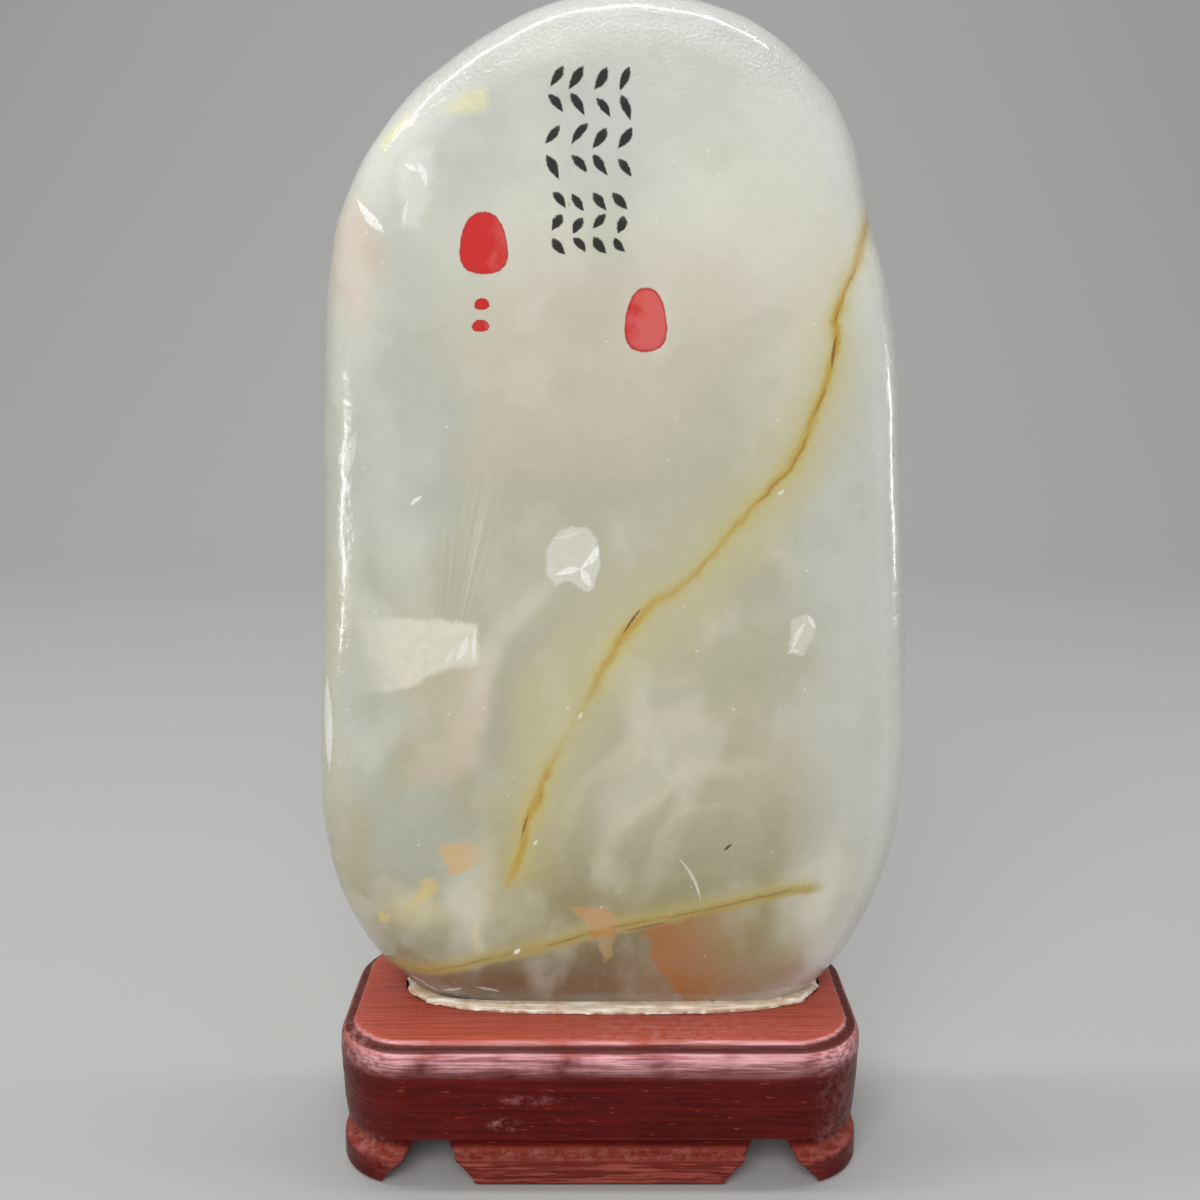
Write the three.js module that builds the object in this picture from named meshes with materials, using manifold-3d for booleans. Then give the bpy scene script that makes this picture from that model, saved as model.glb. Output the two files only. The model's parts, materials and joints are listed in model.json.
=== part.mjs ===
// Jade display stone set in its red-painted wooden stand.
// Millimetres, +Z up, +X to the right of a viewer who faces the painted side, +Y away from them.
// The origin is the middle of the stand's underside, where it rests on the table.
import * as THREE from "three";
import Module from "manifold-3d";

// The stand: one block, wider than deep, with rounded corners.
const standWidth = 104.5;
const standDepth = 47;
const standCorner = 14;
const footHeight = 5.8;
const footEdge = 0.7;
const footLean = 0.1;
const footLedge = 2.2;
const footLedgeRise = 0.3;
const coveHeight = 3.2;
const coveDepth = 3.2;
const bodyHeight = 16.4;
const bodyTaperWidth = 0.8;
const bodyLip = 1.8;
const bodyEdge = 0.8;
const shoulderHeight = 3.5;
const shoulderWidth = 2.1;
const grooveWidth = 0.8;
const grooveDepth = 0.4;
const grooveSlope = 0.2;
const panelRise = 1.1;
const panelEdge = 0.4;
const panelLean = 0.1;

// The openings that leave a middle foot and four corner feet, measured from the stand's middle.
const notchHeight = 9.4;
const notchCrown = 0.7;
const notchSway = 0.04;
const cutPast = 1;
const notchFootInner = 24.4;
const notchTopInner = 31;
const notchTopOuter = 35.6;
const notchFootOuter = 43;
const endNotchFoot = 9.5;
const endNotchTop = 4.5;

// The stone: an upright slab with a rounded rim and slightly full faces.
const stoneWidth = 118.8;
const stoneHeight = 201.2;
const stoneThickness = 27;
const rimInset = 12.5;
const faceCrown = 1.2;
const stoneRight = 2.5;
const stoneBack = 3.5;

// How the stone is set: a slot cut round its foot, filled with compound that stands up in a bead.
const gap = 0.3;
const slotDepth = 9;
const fillWall = 0.6;
const beddingDepth = 0.8;
const beadHeight = 1.8;
const beadWidth = 2.9;
const beadEndHeight = 0.8;
const beadEndWidth = 0.8;
const beadLip = 0.25;

const coveTop = footHeight + coveHeight;
const shoulderBottom = coveTop + bodyHeight;
const shoulderTop = shoulderBottom + shoulderHeight;
const standHeight = shoulderTop + panelRise;
const slotFloor = standHeight - slotDepth;
const stoneBottom = slotFloor + gap + beddingDepth + gap;

// The stone's outline, clockwise from the top as the viewer sees it:
// how far across as a share of half the width, how far up as a share of the height.
const stoneOutline = [
  [0.05, 1.0],
  [0.288, 0.991],
  [0.476, 0.966],
  [0.672, 0.914],
  [0.757, 0.859],
  [0.813, 0.794],
  [0.862, 0.757],
  [0.907, 0.692],
  [0.935, 0.607],
  [0.963, 0.484],
  [0.987, 0.386],
  [1.0, 0.262],
  [0.96, 0.17],
  [0.847, 0.09],
  [0.727, 0.044],
  [0.585, 0.016],
  [0.35, 0.001],
  [0, 0],
  [-0.35, 0.001],
  [-0.596, 0.019],
  [-0.757, 0.053],
  [-0.873, 0.093],
  [-0.962, 0.152],
  [-1.0, 0.228],
  [-0.993, 0.312],
  [-0.96, 0.473],
  [-0.921, 0.701],
  [-0.882, 0.789],
  [-0.8, 0.848],
  [-0.63, 0.914],
  [-0.412, 0.96],
  [-0.2, 0.991],
];

const outlineSteps = 88;
const rimSteps = 6;
const faceSteps = 3;
const cornerSteps = 11;
const bendSteps = 6;
const edgeSteps = 2;
const slotSteps = 64;
const seatSpread = 0.8;

const wasm = await Module();
wasm.setup();
const { Manifold, Mesh } = wasm;

// A closed solid from rings of points that all have the same count, capped at both ends.
function loft(rings) {
  const n = rings[0].length;
  const points = rings.flat();
  const faces = [];
  for (let k = 0; k + 1 < rings.length; k++) {
    for (let j = 0; j < n; j++) {
      const a = k * n + j;
      const b = k * n + ((j + 1) % n);
      faces.push(a, b, b + n, a, b + n, a + n);
    }
  }
  for (const [k, bottom] of [
    [0, true],
    [rings.length - 1, false],
  ]) {
    const middle = new THREE.Vector3();
    rings[k].forEach((p) => middle.addScaledVector(p, 1 / n));
    const m = points.push(middle) - 1;
    for (let j = 0; j < n; j++) {
      const a = k * n + j;
      const b = k * n + ((j + 1) % n);
      faces.push(...(bottom ? [b, a, m] : [a, b, m]));
    }
  }
  return { points, faces };
}

function toSolid({ points, faces }) {
  return new Manifold(
    new Mesh({
      numProp: 3,
      vertProperties: new Float32Array(points.flatMap((p) => [p.x, p.y, p.z])),
      triVerts: new Uint32Array(faces),
    }),
  );
}

function toGeometry({ points, faces }) {
  const g = new THREE.BufferGeometry();
  g.setAttribute(
    "position",
    new THREE.Float32BufferAttribute(
      points.flatMap((p) => [p.x, p.y, p.z]),
      3,
    ),
  );
  g.setIndex(faces);
  g.computeVertexNormals();
  return g;
}

function fromSolid(solid) {
  const m = solid.getMesh();
  const g = new THREE.BufferGeometry();
  g.setAttribute(
    "position",
    new THREE.BufferAttribute(new Float32Array(m.vertProperties), m.numProp),
  );
  g.setIndex(new THREE.BufferAttribute(new Uint32Array(m.triVerts), 1));
  g.computeVertexNormals();
  return g;
}

// A ring at height z round the stand's rounded plan, moved in from its widest line.
function standRing([inset, z]) {
  const r = standCorner - inset;
  const cx = standWidth / 2 - inset - r;
  const cy = standDepth / 2 - inset - r;
  const ring = [];
  for (let q = 0; q < 4; q++) {
    const sx = q === 0 || q === 3 ? 1 : -1;
    const sy = q < 2 ? 1 : -1;
    for (let i = 0; i <= cornerSteps; i++) {
      const a = (q + i / cornerSteps) * (Math.PI / 2);
      ring.push(
        new THREE.Vector3(sx * cx + r * Math.cos(a), sy * cy + r * Math.sin(a), z),
      );
    }
  }
  return ring;
}

// The stand's profile from the table up, as [moved in, height].
function standProfile() {
  const line = [
    [footEdge, 0],
    [0, footEdge],
    [footLean, footHeight - footEdge],
    [footEdge, footHeight],
    [footLedge, footHeight + footLedgeRise],
  ];
  for (let i = 1; i < bendSteps; i++) {
    const a = (i / bendSteps) * Math.PI;
    line.push([
      footLedge + (coveDepth - footLedge) * Math.sin(a),
      footHeight +
        footLedgeRise +
        ((coveHeight - footLedgeRise) * (1 - Math.cos(a))) / 2,
    ]);
  }
  line.push([bodyLip, coveTop]);
  for (let i = 0; i < edgeSteps; i++) {
    const a = (i / edgeSteps) * (Math.PI / 2);
    line.push([
      bodyTaperWidth + bodyEdge * (1 - Math.sin(a)),
      coveTop + bodyEdge * (1 - Math.cos(a)),
    ]);
  }
  for (let i = 0; i <= bendSteps; i++) {
    const t = i / bendSteps;
    line.push([
      bodyTaperWidth * (1 - t) ** 2,
      coveTop + bodyEdge + t * (bodyHeight - bodyEdge),
    ]);
  }
  for (let i = 1; i <= bendSteps; i++) {
    const a = (i / bendSteps) * (Math.PI / 2);
    line.push([
      shoulderWidth * (1 - Math.cos(a)),
      shoulderBottom + shoulderHeight * Math.sin(a),
    ]);
  }
  const panelInset = shoulderWidth + grooveWidth;
  line.push([shoulderWidth + grooveSlope, shoulderTop - grooveDepth]);
  line.push([panelInset, shoulderTop - grooveDepth]);
  line.push([panelInset + panelLean, standHeight - panelEdge]);
  line.push([panelInset + panelLean + panelEdge, standHeight]);
  return line;
}

// One side of an opening from its foot to its top: a slope with a slight S, as a gouge leaves it.
function notchSide(foot, top, upward) {
  const side = [];
  for (let i = 0; i <= bendSteps; i++) {
    const t = i / bendSteps;
    const s = t - notchSway * Math.sin(2 * Math.PI * t);
    side.push([foot + (top - foot) * s, (notchHeight - notchCrown) * t]);
  }
  return upward ? side : side.reverse();
}

// A cutter of an opening's shape: points [across, height] swept from one place to another.
function notchCutter(outline, place, turned) {
  const below = [outline[0], outline.at(-1)].map(([u]) => [u, -cutPast]);
  const shape = [below[0], ...outline, below[1]];
  const ends = turned ? [1, 0] : [0, 1];
  return toSolid(loft(ends.map((end) => shape.map(([u, z]) => place(u, z, end)))));
}

function frontNotch(side) {
  const middle = (notchTopInner + notchTopOuter) / 2;
  const outline = [
    ...notchSide(notchFootInner, notchTopInner, true),
    [middle, notchHeight],
    ...notchSide(notchFootOuter, notchTopOuter, false),
  ];
  const reach = standDepth / 2 + cutPast;
  return notchCutter(
    outline,
    (u, z, end) => new THREE.Vector3(side * u, end ? reach : -reach, z),
    side < 0,
  );
}

function endNotch(side) {
  const outline = [
    ...notchSide(-endNotchFoot, -endNotchTop, true),
    [0, notchHeight],
    ...notchSide(endNotchFoot, endNotchTop, false),
  ];
  const inner = (notchTopInner + notchTopOuter) / 2;
  const outer = standWidth / 2 + cutPast;
  return notchCutter(
    outline,
    (u, z, end) => new THREE.Vector3(side * (end ? outer : inner), u, z),
    side > 0,
  );
}

// The stone's surface: rings from the middle of one face over the rim to the middle of the other.
function stoneSurface() {
  const curve = new THREE.CatmullRomCurve3(
    stoneOutline.map(
      ([u, v]) =>
        new THREE.Vector3(
          stoneRight + (u * stoneWidth) / 2,
          stoneBack,
          stoneBottom + v * stoneHeight,
        ),
    ),
    true,
    "centripetal",
  );
  const rim = curve.getSpacedPoints(outlineSteps).slice(0, outlineSteps);
  const middle = new THREE.Vector3(
    stoneRight,
    stoneBack,
    stoneBottom + stoneHeight / 2,
  );
  const inward = rim.map((p, j) => {
    const before = rim[(j + outlineSteps - 1) % outlineSteps];
    const after = rim[(j + 1) % outlineSteps];
    const along = new THREE.Vector3().subVectors(after, before).normalize();
    return new THREE.Vector3(along.z, 0, -along.x);
  });
  if (inward[0].z > 0) inward.forEach((d) => d.negate());
  const edgeHalf = stoneThickness / 2 - faceCrown;
  const ringAt = (inset, share, half) =>
    rim.map((p, j) =>
      p
        .clone()
        .addScaledVector(inward[j], inset)
        .sub(middle)
        .multiplyScalar(share)
        .add(middle)
        .add(new THREE.Vector3(0, half, 0)),
    );
  const side = (sign) => {
    const rings = [];
    for (let i = 1; i <= rimSteps; i++) {
      const a = (i / rimSteps) * (Math.PI / 2);
      rings.push(
        ringAt(rimInset * (1 - Math.cos(a)), 1, sign * edgeHalf * Math.sin(a)),
      );
    }
    for (let i = 1; i <= faceSteps; i++) {
      const share = 1 - i / (faceSteps + 1);
      rings.push(
        ringAt(
          rimInset,
          share,
          sign * (edgeHalf + faceCrown * (1 - share * share)),
        ),
      );
    }
    return rings;
  };
  return loft([...side(-1).reverse(), ringAt(0, 1, 0), ...side(1)]);
}

// The same surface moved outward by a clearance.
function grown(surface, by) {
  const normals = toGeometry(surface).getAttribute("normal");
  const points = surface.points.map((p, i) =>
    p.clone().addScaledVector(new THREE.Vector3().fromBufferAttribute(normals, i), by),
  );
  return { points, faces: surface.faces };
}

// Where the stone's surface crosses a height that may change from the middle of the stone (0)
// to its ends (1), found by rays sent out from its middle plane.
function stoneSection(surface, heightAt) {
  const seenInside = new THREE.MeshBasicMaterial({ side: THREE.DoubleSide });
  const mesh = new THREE.Mesh(toGeometry(surface), seenInside);
  const ray = new THREE.Raycaster();
  const hit = (x, dx, dy, z) => {
    ray.set(
      new THREE.Vector3(x, stoneBack, z),
      new THREE.Vector3(dx, dy, 0).normalize(),
    );
    return ray.intersectObject(mesh)[0].point;
  };
  const right = hit(stoneRight, 1, 0, heightAt(1)).x;
  const left = hit(stoneRight, -1, 0, heightAt(1)).x;
  const middle = (left + right) / 2;
  const reach = ((right - left) / 2) * seatSpread;
  const ring = [];
  for (let i = 0; i < slotSteps; i++) {
    const a = (i / slotSteps) * 2 * Math.PI;
    const across = Math.cos(a);
    const z = heightAt(Math.abs(across));
    ring.push(hit(middle + reach * across, across, Math.sin(a), z));
  }
  return ring;
}

// A ring moved outward and set at a height, both of which may change from point to point.
function offsetRing(ring, by, z) {
  const n = ring.length;
  return ring.map((p, j) => {
    const along = new THREE.Vector3()
      .subVectors(ring[(j + 1) % n], ring[(j + n - 1) % n])
      .setZ(0)
      .normalize();
    return new THREE.Vector3(p.x + along.y * by(j), p.y - along.x * by(j), z(j));
  });
}

const jadeMaterial = new THREE.MeshStandardMaterial({
  color: 0xc6c8bc,
  roughness: 0.12,
  metalness: 0,
});
const woodMaterial = new THREE.MeshStandardMaterial({
  color: 0x7c1a12,
  roughness: 0.3,
  metalness: 0,
});
const beadMaterial = new THREE.MeshStandardMaterial({
  color: 0xd6c4a8,
  roughness: 0.25,
  metalness: 0,
});

const stoneShape = stoneSurface();
const stone = new THREE.Mesh(toGeometry(stoneShape), jadeMaterial);
stone.name = "jade_stone";

// The compound fills the slot round and under the stone and rises over the panel as a bead,
// broad in the middle of each face and narrow at the ends.
const fromEnd = (end, middle) => (share) => middle + (end - middle) * share * share;
const beadUp = fromEnd(beadEndHeight, beadHeight);
const beadOut = fromEnd(beadEndWidth, beadWidth);
const shareAt = (j) => Math.abs(Math.cos((j / slotSteps) * 2 * Math.PI));
const roomShape = grown(stoneShape, gap);
const seatLine = stoneSection(roomShape, () => standHeight + gap);
const beadLine = stoneSection(roomShape, (share) => standHeight + beadUp(share));
const fillOut = () => fillWall;
const slotOut = () => fillWall + gap;
const beadRings = [
  offsetRing(seatLine, fillOut, () => slotFloor + gap),
  offsetRing(seatLine, fillOut, () => standHeight + gap),
];
for (let i = 0; i <= bendSteps; i++) {
  const a = (i / bendSteps) * (Math.PI / 2);
  beadRings.push(
    offsetRing(
      beadLine,
      (j) => beadLip + beadOut(shareAt(j)) * Math.cos(a),
      (j) => standHeight + gap + (beadUp(shareAt(j)) - gap) * Math.sin(a),
    ),
  );
}
const stoneRoom = toSolid(roomShape);
const bead = new THREE.Mesh(
  fromSolid(toSolid(loft(beadRings)).subtract(stoneRoom)),
  beadMaterial,
);
bead.name = "setting_bead";

const slot = toSolid(
  loft([
    offsetRing(seatLine, slotOut, () => slotFloor),
    offsetRing(seatLine, slotOut, () => standHeight + cutPast),
  ]),
);
let stand = toSolid(loft(standProfile().map(standRing))).subtract(slot);
for (const side of [-1, 1]) {
  stand = stand.subtract(frontNotch(side)).subtract(endNotch(side));
}
const wood = new THREE.Mesh(fromSolid(stand), woodMaterial);
wood.name = "wooden_stand";

const group = new THREE.Group();
group.add(stone, wood, bead);

export default group;
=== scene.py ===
import json
import math

import bpy
import numpy as np
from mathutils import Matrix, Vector, noise

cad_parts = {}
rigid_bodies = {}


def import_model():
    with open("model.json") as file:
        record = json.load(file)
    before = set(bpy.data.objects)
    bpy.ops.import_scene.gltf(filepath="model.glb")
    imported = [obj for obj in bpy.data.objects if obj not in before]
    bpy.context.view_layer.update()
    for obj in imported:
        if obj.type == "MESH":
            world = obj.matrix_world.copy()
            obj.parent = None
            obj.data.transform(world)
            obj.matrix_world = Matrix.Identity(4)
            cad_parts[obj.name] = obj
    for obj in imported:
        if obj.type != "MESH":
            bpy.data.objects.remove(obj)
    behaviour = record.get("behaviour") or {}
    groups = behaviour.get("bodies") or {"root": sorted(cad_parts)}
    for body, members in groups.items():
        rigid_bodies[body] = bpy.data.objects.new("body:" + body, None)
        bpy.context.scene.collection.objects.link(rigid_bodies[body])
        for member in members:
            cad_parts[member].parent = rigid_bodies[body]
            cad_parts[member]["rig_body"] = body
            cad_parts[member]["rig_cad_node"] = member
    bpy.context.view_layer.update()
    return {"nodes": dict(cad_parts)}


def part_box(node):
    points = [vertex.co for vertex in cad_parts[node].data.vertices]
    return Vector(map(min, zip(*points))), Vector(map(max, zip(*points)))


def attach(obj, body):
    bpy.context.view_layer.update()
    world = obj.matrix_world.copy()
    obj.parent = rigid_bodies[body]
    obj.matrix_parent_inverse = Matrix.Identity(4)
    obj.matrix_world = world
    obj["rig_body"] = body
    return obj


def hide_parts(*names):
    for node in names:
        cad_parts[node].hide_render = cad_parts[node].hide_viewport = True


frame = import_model()
nodes = frame["nodes"]
scene = bpy.context.scene

# The wooden stand: one block of hardwood, carved with a raised panel, a rounded shoulder, a cove
# and cut-out feet, then brushed with thick red paint and glossed. The paint softens every edge,
# the brush leaves fine lines along the wood, and the edges are rubbed and dusty.


def copy_of(node, name):
    """A copy of a solid as one merged mesh with no material, ready to be worked on."""
    bpy.ops.object.select_all(action="DESELECT")
    piece = nodes[node].copy()
    piece.data = nodes[node].data.copy()
    piece.name = piece.data.name = name
    piece.parent = None
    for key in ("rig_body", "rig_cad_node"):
        if key in piece:
            del piece[key]
    piece.data.materials.clear()
    scene.collection.objects.link(piece)
    piece.select_set(True)
    bpy.context.view_layer.objects.active = piece
    bpy.ops.object.mode_set(mode="EDIT")
    bpy.ops.mesh.select_all(action="SELECT")
    bpy.ops.mesh.remove_doubles(threshold=1e-6)
    bpy.ops.object.mode_set(mode="OBJECT")
    return piece


def work(piece, kind, **settings):
    """One modifier, applied at once."""
    modifier = piece.modifiers.new(kind.lower(), kind)
    for name, value in settings.items():
        setattr(modifier, name, value)
    bpy.context.view_layer.objects.active = piece
    bpy.ops.object.modifier_apply(modifier=modifier.name)


def points_of(piece):
    """The piece's points in millimetres, and the way that its surface faces at each."""
    count = len(piece.data.vertices)
    points, facing = np.empty(count * 3), np.empty(count * 3)
    piece.data.vertices.foreach_get("co", points)
    piece.data.vertices.foreach_get("normal", facing)
    return points.reshape(-1, 3) * 1000, facing.reshape(-1, 3)


def set_points(piece, points):
    piece.data.vertices.foreach_set("co", (points / 1000).ravel())
    piece.data.update()


def unevenness(points, size, layers=2):
    """Natural unevenness, from about -1 to 1 at each point, in clouds of a size in mm. A number
    added to the points gives another pattern."""
    places = (points / np.array(size)).tolist()
    return np.array([noise.fractal(Vector(p), 1.0, 2.0, layers) for p in places])


def fade(value, none, full):
    """Rises smoothly from 0 where the value is none to 1 where it is full."""
    t = np.clip((value - none) / (full - none), 0, 1)
    return t * t * (3 - 2 * t)


stand = copy_of("wooden_stand", "painted_stand")
work(stand, "REMESH", mode="VOXEL", voxel_size=0.00056)
work(stand, "SMOOTH", factor=0.5, iterations=2)
points, facing = points_of(stand)
level = np.abs(facing[:, 2:])[:, 0]
brush_lines = unevenness(points, (26, 26, 1.5)) * (1 - level)
brush_lines += unevenness(points, (28, 1.6, 30)) * level
knife_work = unevenness(points, (15, 15, 7))
depth = 0.07 * (1 + brush_lines) + 0.14 * (1 + knife_work)
depth *= fade(points[:, 2], 0.2, 1.5)
set_points(stand, points - facing * np.maximum(depth, 0)[:, None])
bpy.ops.object.shade_smooth()


def put(tree, kind, inputs=None, **settings):
    """Adds a node, sets it, and gives its inputs a value or a link."""
    node = tree.nodes.new(kind)
    for name, value in settings.items():
        setattr(node, name, value)
    for socket, value in (inputs or {}).items():
        if isinstance(value, bpy.types.NodeSocket):
            tree.links.new(value, node.inputs[socket])
        else:
            node.inputs[socket].default_value = value
    return node


def calc(tree, how, *values):
    return put(tree, "ShaderNodeMath", dict(enumerate(values)), operation=how).outputs[0]


def product(tree, first, *others):
    for other in others:
        first = calc(tree, "MULTIPLY", first, other)
    return first


def rise(tree, value, none, full):
    """Rises smoothly from 0 where the value is none to 1 where it is full."""
    reach = {0: value, 1: none, 2: full}
    node = put(tree, "ShaderNodeMapRange", reach, interpolation_type="SMOOTHSTEP")
    return node.outputs[0]


def cover(tree, under, share, over):
    """Lays one colour over another by a share."""
    node = put(tree, "ShaderNodeMix", data_type="RGBA")
    for socket, value in ((0, share), (6, under), (7, over)):
        if isinstance(value, bpy.types.NodeSocket):
            tree.links.new(value, node.inputs[socket])
        else:
            node.inputs[socket].default_value = value
    return node.outputs[2]


def mottle(tree, place, scale, detail=2.0, rough=0.5, stretch=None):
    """A cloudy value about 0.5, with so many clouds to a millimetre."""
    if stretch:
        squeezed = {0: place, 1: stretch}
        place = put(tree, "ShaderNodeVectorMath", squeezed, operation="MULTIPLY").outputs[0]
    clouds = {"Vector": place, "Scale": scale, "Detail": detail, "Roughness": rough}
    return put(tree, "ShaderNodeTexNoise", clouds).outputs["Fac"]


def parts(tree, vector):
    return put(tree, "ShaderNodeSeparateXYZ", {0: vector}).outputs


def millimetres(tree):
    """The place on the piece, in millimetres."""
    spot = {0: put(tree, "ShaderNodeTexCoord").outputs["Object"], "Scale": 1000}
    return put(tree, "ShaderNodeVectorMath", spot, operation="SCALE").outputs[0]


def tone(r, g, b):
    """A colour as the eye sees it on a screen, 0 to 255, made linear."""
    shares = [c / 255 for c in (r, g, b)]
    return (*(c / 12.92 if c < 0.04 else ((c + 0.055) / 1.055) ** 2.4 for c in shares), 1)


def new_material(name):
    material = bpy.data.materials.new(name)
    material.use_nodes = True
    tree = material.node_tree
    tree.nodes.clear()
    shader = put(tree, "ShaderNodeBsdfPrincipled")
    surface = put(tree, "ShaderNodeOutputMaterial")
    tree.links.new(shader.outputs[0], surface.inputs["Surface"])
    return material, tree, shader


def roughen(tree, shader, relief, strength, distance):
    skin = {"Height": relief, "Strength": strength, "Distance": distance}
    tree.links.new(put(tree, "ShaderNodeBump", skin).outputs[0], shader.inputs["Normal"])


def new_group(name, inputs):
    """A node group that turns its inputs into one mask."""
    group = bpy.data.node_groups.new(name, "ShaderNodeTree")
    for label, value in inputs.items():
        kind = "NodeSocketVector" if isinstance(value, tuple) else "NodeSocketFloat"
        socket = group.interface.new_socket(label, in_out="INPUT", socket_type=kind)
        socket.default_value = value
    group.interface.new_socket("Mask", in_out="OUTPUT", socket_type="NodeSocketFloat")
    return group, put(group, "NodeGroupInput").outputs, put(group, "NodeGroupOutput")


def laid_at(group, given):
    """The place seen from a mark's own middle, turned and scaled with it."""
    own = {
        "Vector": given["Place"],
        "Location": given["Middle"],
        "Rotation": given["Turn"],
        "Scale": given["Half Size"],
    }
    return put(group, "ShaderNodeMapping", own, vector_type="TEXTURE").outputs[0]


# An oval patch on a face that looks forward: 1 within it and 0 outside, with a soft edge.
patch_group, given, result = new_group(
    "patch",
    {
        "Place": (0.0, 0.0, 0.0),
        "Middle": (0.0, 0.0, 0.0),
        "Turn": (0.0, 0.0, 0.0),
        "Half Size": (1.0, 1.0, 1.0),
        "Softness": 0.3,
    },
)
spot = {0: laid_at(patch_group, given)}
off = put(patch_group, "ShaderNodeVectorMath", spot, operation="LENGTH").outputs["Value"]
outer = calc(patch_group, "ADD", 1.0, given["Softness"])
inner = calc(patch_group, "SUBTRACT", 1.0, given["Softness"])
patch_group.links.new(rise(patch_group, off, outer, inner), result.inputs[0])


def patch(tree, place, x, z, half_width, half_height, turn=0.0, soft=0.3):
    """An oval in millimetres, turned by degrees as the viewer sees it."""
    own = {
        "Place": place,
        "Middle": (x, 0, z),
        "Turn": (0, -math.radians(turn), 0),
        "Half Size": (half_width, 1000, half_height),
        "Softness": soft,
    }
    return put(tree, "ShaderNodeGroup", own, node_tree=patch_group).outputs[0]


paint, tree, shader = new_material("red_painted_wood")
place = millimetres(tree)
normal = put(tree, "ShaderNodeNewGeometry").outputs["Normal"]
level = calc(tree, "ABSOLUTE", parts(tree, normal)[2])
# The brush's lines run round the walls and along the top, with clouds, flecks and streaks in them.
walls = mottle(tree, place, 1.0, 3, 0.6, stretch=(0.06, 0.06, 1.3))
top = mottle(tree, place, 1.0, 3, 0.6, stretch=(0.06, 1.2, 0.1))
upright = calc(tree, "SUBTRACT", 1.0, level)
lines = calc(tree, "ADD", product(tree, walls, upright), product(tree, top, level))
clouds = mottle(tree, place, 0.11, 3)
flecks = mottle(tree, place, 1.0, 2, 0.6, stretch=(0.35, 0.5, 2.2))
rubbed = mottle(tree, place, 0.5, 4, 0.7)
streaks = mottle(tree, place, 1.0, 3, 0.7, stretch=(0.07, 1.1, 1.5))
_, depth, height = parts(tree, place)
# The colours of the paint, with a painted light for the tops, a painted sheen and a painted shade
# for the groove, and heights on the stand where its forms meet.
dark_red, red, dull_red = tone(74, 8, 4), tone(98, 15, 9), tone(100, 20, 13)
top_light_red, fleck_red, groove_shade_red = tone(186, 88, 70), tone(176, 84, 56), tone(52, 6, 4)
rail_sheen_red, sheen, dust_and_sheen = tone(188, 96, 84), tone(236, 176, 182), tone(196, 140, 134)
rail_top, shoulder_low, shoulder_high, groove_low, groove_high = 5.6, 22.6, 26.8, 28.0, 29.3
colour = cover(tree, dark_red, rise(tree, lines, 0.4, 0.68), red)
colour = cover(tree, colour, product(tree, rise(tree, clouds, 0.4, 0.7), 0.4), dull_red)
colour = cover(tree, colour, product(tree, rise(tree, flecks, 0.66, 0.74), 0.5), fleck_red)
# Painted light: faces that look up are painted lighter, as if lit from above, more so near the
# top.
# The painted sheen on the shoulder and the dust show mostly in front.
painted_top_light = product(
    tree,
    rise(tree, level, 0.15, 0.85),
    calc(tree, "MULTIPLY_ADD", lines, 0.8, 0.45),
    calc(tree, "MULTIPLY_ADD", rise(tree, height, 10, 24), 0.6, 0.4),
)
colour = cover(tree, colour, painted_top_light, top_light_red)
forward = calc(tree, "MULTIPLY_ADD", rise(tree, depth, -8, -16), 0.8, 0.2)
# Painted sheen: pink-white streaks along the shoulder, a highlight of the light above.
shoulder_sheen = product(
    tree,
    rise(tree, level, 0.97, 0.75),
    rise(tree, height, shoulder_low, shoulder_high),
    calc(tree, "MULTIPLY_ADD", rise(tree, streaks, 0.36, 0.64), 0.72, 0.28),
    rise(tree, clouds, 0.2, 0.6),
    patch(tree, place, 2, 26, 50, 30, soft=0.08),
    forward,
    0.9,
)
colour = cover(tree, colour, shoulder_sheen, sheen)
# Painted sheen: lighter streaks along the foot rail, as a glossy highlight.
rail_sheen = product(
    tree,
    rise(tree, height, rail_top, rail_top - 1),
    rise(tree, level, 0.6, 0.2),
    calc(tree, "MULTIPLY_ADD", rise(tree, streaks, 0.45, 0.62), 0.8, 0.2),
    patch(tree, place, 0, 3, 42, 30, soft=0.1),
    0.55,
)
colour = cover(tree, colour, rail_sheen, rail_sheen_red)
# Painted shade: the groove under the panel's edge is painted dark.
groove_shade = product(
    tree,
    rise(tree, height, groove_low, groove_low + 0.3),
    rise(tree, height, groove_high, groove_high - 0.4),
    0.85,
)
colour = cover(tree, colour, groove_shade, groove_shade_red)
# Rubbed and dusty places, the one at the right corner also a painted sheen: a middle, a half size
# and how much shows.
for x, z, half_width, half_height, amount in (
    (-50, 27, 6, 2.6, 0.5),
    (-46, 7, 6, 2.5, 0.3),
    (46, 8, 6, 3.5, 0.25),
    # Partly dust and partly a painted sheen on the right corner.
    (48, 18, 5, 8, 0.2),
    (-18.5, 13.2, 2.8, 1.3, 0.55),
    (-14, 18.6, 5, 1.0, 0.3),
    (0, 5.9, 52, 0.5, 0.3),
    (12, 29.6, 24, 0.35, 0.35),
):
    wear_and_sheen = product(
        tree,
        patch(tree, place, x, z, half_width, half_height, soft=0.6),
        rise(tree, rubbed, 0.42, 0.66),
        forward,
        amount,
    )
    colour = cover(tree, colour, wear_and_sheen, dust_and_sheen)
tree.links.new(colour, shader.inputs["Base Color"])
reach = {0: rubbed, 1: 0.3, 2: 0.7, 3: 0.2, 4: 0.42}
dull = put(tree, "ShaderNodeMapRange", reach).outputs[0]
tree.links.new(dull, shader.inputs["Roughness"])
shader.inputs["Specular IOR Level"].default_value = 0.13
shader.inputs["Coat Weight"].default_value = 0.05
shader.inputs["Coat Roughness"].default_value = 0.25
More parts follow.
